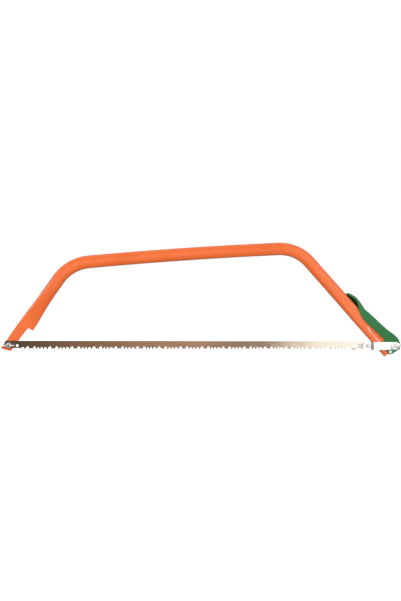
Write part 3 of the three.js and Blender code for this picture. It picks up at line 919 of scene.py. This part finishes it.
def makeWingNut():
    # cast boss and two wings melted together by a fine remesh, then the bore is cut
    base = bolt["nutBase"]
    boss = [(0, base - 6.1), (3.7, base - 6.1), (4.2, base - 5.6), (5.0, base - 0.5),
            (4.7, base - 0.05), (0, base - 0.05)]
    obj = spinProfile("wingNut", boss, 0, 0, 48)
    for side in (-1, 1):
        wing = [(3.0, -0.7), (6.2, -1.5), (8.4, -2.7), (10.2, -4.6), (11.2, -6.8), (11.6, -9.3),
                (11.2, -10.8), (10.2, -11.5), (8.9, -10.9), (7.6, -9.6), (6.2, -7.6), (4.6, -6.2),
                (3.0, -5.4)]
        points = [mm(side * x, base + y, -1.1) for x, y in wing]
        cast = drawOutline("wing", points)
        push(Vector((0, 0, 0.0022)))
        bpy.ops.mesh.select_all(action="SELECT")
        bpy.ops.mesh.normals_make_consistent(inside=False)
        objectMode()
        cutWith(obj, cast, "UNION")
    useModifier(obj, "REMESH", mode="VOXEL", voxel_size=0.00022, use_smooth_shade=True)
    useModifier(obj, "SMOOTH", factor=0.5, iterations=6)
    bore = [(0, base - 20), (3.06, base - 20), (3.06, base + 5), (0, base + 5)]
    cutWith(obj, spinProfile("nutBore", bore, 0, 0, 48))
    smoothShade(obj, 45)
    return obj


nearWasher = bolt["nutBase"] + bolt["gap"]
farWasher = bolt["headStart"] - bolt["gap"] - bolt["washer"]
makeWasher("frontWasherNear", 6.4, 3.3, nearWasher, "front_nut", "front_washer_near")
makeWasher("frontWasherFar", 7.2, 3.3, farWasher, "frame", "front_washer_far")
finishPiece(makeBolt(), zincBolt, "frame", ["front_bolt"])
finishPiece(makeWingNut(), zincCast, "front_nut", ["wing_nut"])

# tension lever

lever = {"sheet": 1.3, "half": 8.1, "bend": 2.2, "fulcrum": fulcrumAt, "rivet": (822.4, 0.8),
         "pinHole": 2.8,
         "outside": [(718.0, 113.9), (724.9, 110.4), (734.5, 104.2), (745.2, 91.3), (754.0, 78.5),
                     (763.4, 70.7), (780.4, 55.3), (802.7, 35.7), (818.0, 24.9), (828.0, 14.9),
                     (832.4, 4.3), (832.1, -4.5)],
         "inside": [(796.1, 14.8), (786.0, 24.1), (764.1, 44.1), (750.1, 57.5), (743.9, 69.9),
                    (739.5, 81.3), (736.4, 92.7), (730.2, 101.3), (721.8, 106.6), (715.6, 111.1)],
         "skirt": [(718.6, 112.4), (724.6, 109.2), (733.2, 103.6), (741.0, 94.4), (744.6, 84.0),
                   (740.4, 80.4), (731.4, 90.2), (721.6, 101.0), (715.6, 108.2), (716.2, 110.8)]}


def throughPoints(points, steps):
    # smooth curve through the points, as a list
    result = []
    for k in range(len(points) - 1):
        p0 = points[max(k - 1, 0)]
        p1 = points[k]
        p2 = points[k + 1]
        p3 = points[min(k + 2, len(points) - 1)]
        for j in range(steps):
            t = j / steps
            place = []
            for i in (0, 1):
                a, b, c, d = p0[i], p1[i], p2[i], p3[i]
                place.append(0.5 * (2 * b + (c - a) * t + (2 * a - 5 * b + 4 * c - d) * t * t
                                    + (3 * b - a - 3 * c + d) * t ** 3))
            result.append(tuple(place))
    result.append(points[-1])
    return result


# green enamel outside, and painted shade on the channel's inner walls
leverPaintAndShade = [greenEnamel, greenInsideShade]


def makeLever():
    # side profile pulled to full width, bent edges rounded, and the channel cut from the tube side
    outside = throughPoints(lever["outside"], 5)
    inside = throughPoints(lever["inside"], 4)
    fx, fz = lever["fulcrum"]
    heel = [(831.0, -6.9), (828.9, -8.7), (826.0, -9.8)] + arcPoints(fx, fz, 5.8, -58, -175, 10)
    heel += [(796.4, 7.3)]
    outline = outside + heel + inside + [(714.9, 112.2), (715.8, 113.6)]
    half = lever["half"]
    obj = plateFrom("tensionLever", [mm(x, -half, z) for x, z in outline], 2 * half)
    makeActive(obj)
    editMode()
    webLine = [mm(x, 0, z) for x, z in outside]
    rimLine = [mm(x, 0, z) for x, z in heel + inside]

    def onWeb(point):
        flat = Vector((point.x, 0, point.z))
        toWeb = min((flat - Vector((q.x, 0, q.z))).length for q in webLine)
        toRim = min((flat - Vector((q.x, 0, q.z))).length for q in rimLine)
        return toWeb < toRim

    edgeY = half / 1000
    pick("EDGE", lambda e: all(abs(abs(v.co.y) - edgeY) < 0.00001 for v in e.verts)
         and abs(e.verts[0].co.y - e.verts[1].co.y) < 0.00001 and onWeb(midOf(e)))
    bpy.ops.mesh.bevel(offset=lever["bend"] / 1000, segments=5, profile=0.5, clamp_overlap=True)
    objectMode()
    inner = []
    for k, (x, z) in enumerate(outside):
        ax, az = outside[max(k - 1, 0)]
        bx, bz = outside[min(k + 1, len(outside) - 1)]
        length = math.hypot(bx - ax, bz - az)
        inward = lever["sheet"] / length
        inner.append((x + (bz - az) * inward, z - (bx - ax) * inward))
    hollow = inner[5:] + [(831.4, -9), (840, -10), (840, -60), (700, -60), (700, 90)]
    y = half - lever["sheet"]
    giveSlots(obj, leverPaintAndShade, 0)
    # the channel's inner walls take the second, near-black material: painted shade
    cutter = plateFrom("leverHollow", [mm(x, -y, z) for x, z in hollow], 2 * y)
    giveSlots(cutter, leverPaintAndShade, 1)
    cutWith(obj, cutter)
    skirt = plateFrom("leverSkirt", [mm(x, y, z) for x, z in lever["skirt"]], lever["sheet"])
    giveSlots(skirt, leverPaintAndShade, 0)
    makeActive(skirt)
    # the skirt's face towards the tube takes the same near-black material: painted shade in the gap
    # under the tab
    for face in skirt.data.polygons:
        if face.normal.y < -0.9:
            face.material_index = 1
    cutWith(obj, skirt, "UNION")
    for x, z in (lever["fulcrum"], lever["rivet"]):
        rim = [mm(q, -20, r) for q, r in arcPoints(x, z, lever["pinHole"], 0, 345, 23)]
        cutWith(obj, plateFrom("pinPunch", rim, 40))
    easeEdges(obj, 0.25, 2, 50)
    smoothShade(obj, 30)
    return obj


finishPiece(makeLever(), leverPaintAndShade, "lever", ["tension_lever"])

# link cheeks

cheek = {"sheet": 1.6, "blade": 0.75, "wide": 9.3, "rear": 8.45, "steps": (769.3, 772.3, 809.4, 814.6)}


def makeCheek(name, side, node):
    rx, rz = lever["rivet"]
    outline = [(756, 8.3)] + [(rx - 2, 8.3)] + arcPoints(rx, rz - 0.7, 8.2, 80, -90, 16) + [(757, -8.9)]
    outline += [(753.2, -8.0), (751.2, -5.6), (750.5, -2.6), (750.5, 1.6), (751.2, 4.9), (753, 7.4)]
    points = [mm(x, side * cheek["blade"], z) for x, z in outline]
    obj = drawOutline(name, points)
    for x in cheek["steps"]:
        bpy.ops.mesh.select_all(action="SELECT")
        bpy.ops.mesh.bisect(plane_co=mm(x, 0, 0), plane_no=(1, 0, 0))
    a, b, c, d = [mm(x, 0, 0).x for x in cheek["steps"]]
    near = 0.00001
    pick("VERT", lambda v: b - near <= v.co.x <= c + near)
    bpy.ops.transform.translate(value=(0, side * (cheek["wide"] - cheek["blade"]) / 1000, 0))
    pick("VERT", lambda v: v.co.x >= d - near)
    bpy.ops.transform.translate(value=(0, side * (cheek["rear"] - cheek["blade"]) / 1000, 0))
    for x, width in zip((a, b, c, d), (0.9, 1.1, 1.6, 1.6)):
        pick("EDGE", lambda e: all(abs(v.co.x - x) < near for v in e.verts))
        bpy.ops.mesh.bevel(offset=width / 1000, segments=4)
    bpy.ops.mesh.select_all(action="SELECT")
    bpy.ops.mesh.normals_make_consistent(inside=False)
    objectMode()
    facing = sum(f.normal.y * f.area for f in obj.data.polygons)
    useModifier(obj, "SOLIDIFY", thickness=cheek["sheet"] / 1000,
                offset=math.copysign(1, facing * side), use_even_offset=True)
    makeActive(obj)
    editMode()
    bpy.ops.mesh.select_all(action="SELECT")
    bpy.ops.mesh.normals_make_consistent(inside=False)
    objectMode()
    for x, z in (lever["rivet"], (blade["span"], 0)):
        rim = [mm(p, -20, q) for p, q in arcPoints(x, z, lever["pinHole"], 0, 345, 23)]
        cutWith(obj, plateFrom("cheekPunch", rim, 40))
    easeEdges(obj, 0.3, 2, 50)
    smoothShade(obj, 30)
    finishPiece(obj, zincPlate, "link", [node])


makeCheek("linkCheekNear", -1, "link_cheek_near")
makeCheek("linkCheekFar", 1, "link_cheek_far")

# pins, rivet, sleeve and clip

pins = {"radius": 2.5, "gap": 0.3}


def makeHeadedPin(name, x, z, headRadius, shoulder, height, body, node, dimple):
    # shank with two formed heads; the ends are slightly dished where they were peened
    r = pins["radius"]
    head = [(r, shoulder), (headRadius - 0.15, shoulder), (headRadius, shoulder + 0.15)]
    for k in range(1, 9):
        t = math.radians(90 * k / 9)
        head.append((headRadius * math.cos(t), shoulder + height * (0.35 + 0.65 * math.sin(t))))
    head += [(dimple, head[-1][1]), (dimple * 0.6, head[-1][1] - 0.25), (0, head[-1][1] - 0.3)]
    profile = [(a, -b) for a, b in reversed(head)] + head
    obj = spinProfile(name, profile, x, z, 56)
    easeEdges(obj, 0.06, 1, 50)
    smoothShade(obj, 40)
    finishPiece(obj, zincBolt, body, [node])


def makeSleeve():
    rx, rz = lever["rivet"]
    y = lever["half"] - lever["sheet"] - pins["gap"]
    inner = pins["radius"] + pins["gap"]
    profile = [(inner, -y), (3.9, -y), (4.1, 0.2 - y), (4.1, y - 0.2), (3.9, y), (inner, y),
               (inner, -y)]
    obj = spinProfile("rivetSpacer", profile, rx, rz, 48)
    smoothShade(obj)
    finishPiece(obj, zincPlate, "lever", ["rivet_spacer"])


def makeBladePin():
    out = cheek["blade"] + cheek["sheet"] + pins["gap"]
    head = -out
    r = pins["radius"]
    profile = [(0, head - 1.75), (1.0, head - 1.78), (1.9, head - 1.72), (2.9, head - 1.5),
               (3.6, head - 1.15), (4.05, head - 0.7), (4.2, head - 0.3), (4.15, head), (r, head),
               (r, out), (1.8, out), (1.8, out + 1.6), (r, out + 1.6), (r, out + 2.9),
               (2.1, out + 3.35), (0, out + 3.4)]
    obj = spinProfile("bladePin", profile, blade["span"], 0, 56)
    easeEdges(obj, 0.06, 1, 50)
    smoothShade(obj, 40)
    finishPiece(obj, zincBolt, "link", ["blade_pin"])
    y = out + pins["gap"]
    ring = arcPoints(blade["span"], 0, 4.6, -60, 240, 40)
    ring += arcPoints(blade["span"], 0, 2.1, 235, -55, 34)
    clip = plateFrom("bladePinClip", [mm(a, y, b) for a, b in ring], 1.0)
    easeEdges(clip, 0.22, 3, 50)
    smoothShade(clip, 40)
    finishPiece(clip, zincBolt, "link", ["blade_pin_clip"])


makeHeadedPin("fulcrumPin", *lever["fulcrum"], 3.4, 8.4, 0.8, "lever", "fulcrum_pin", 0.6)
makeHeadedPin("linkRivet", *lever["rivet"], 4.9, 10.35, 1.8, "lever", "link_rivet", 0.85)
makeSleeve()
makeBladePin()
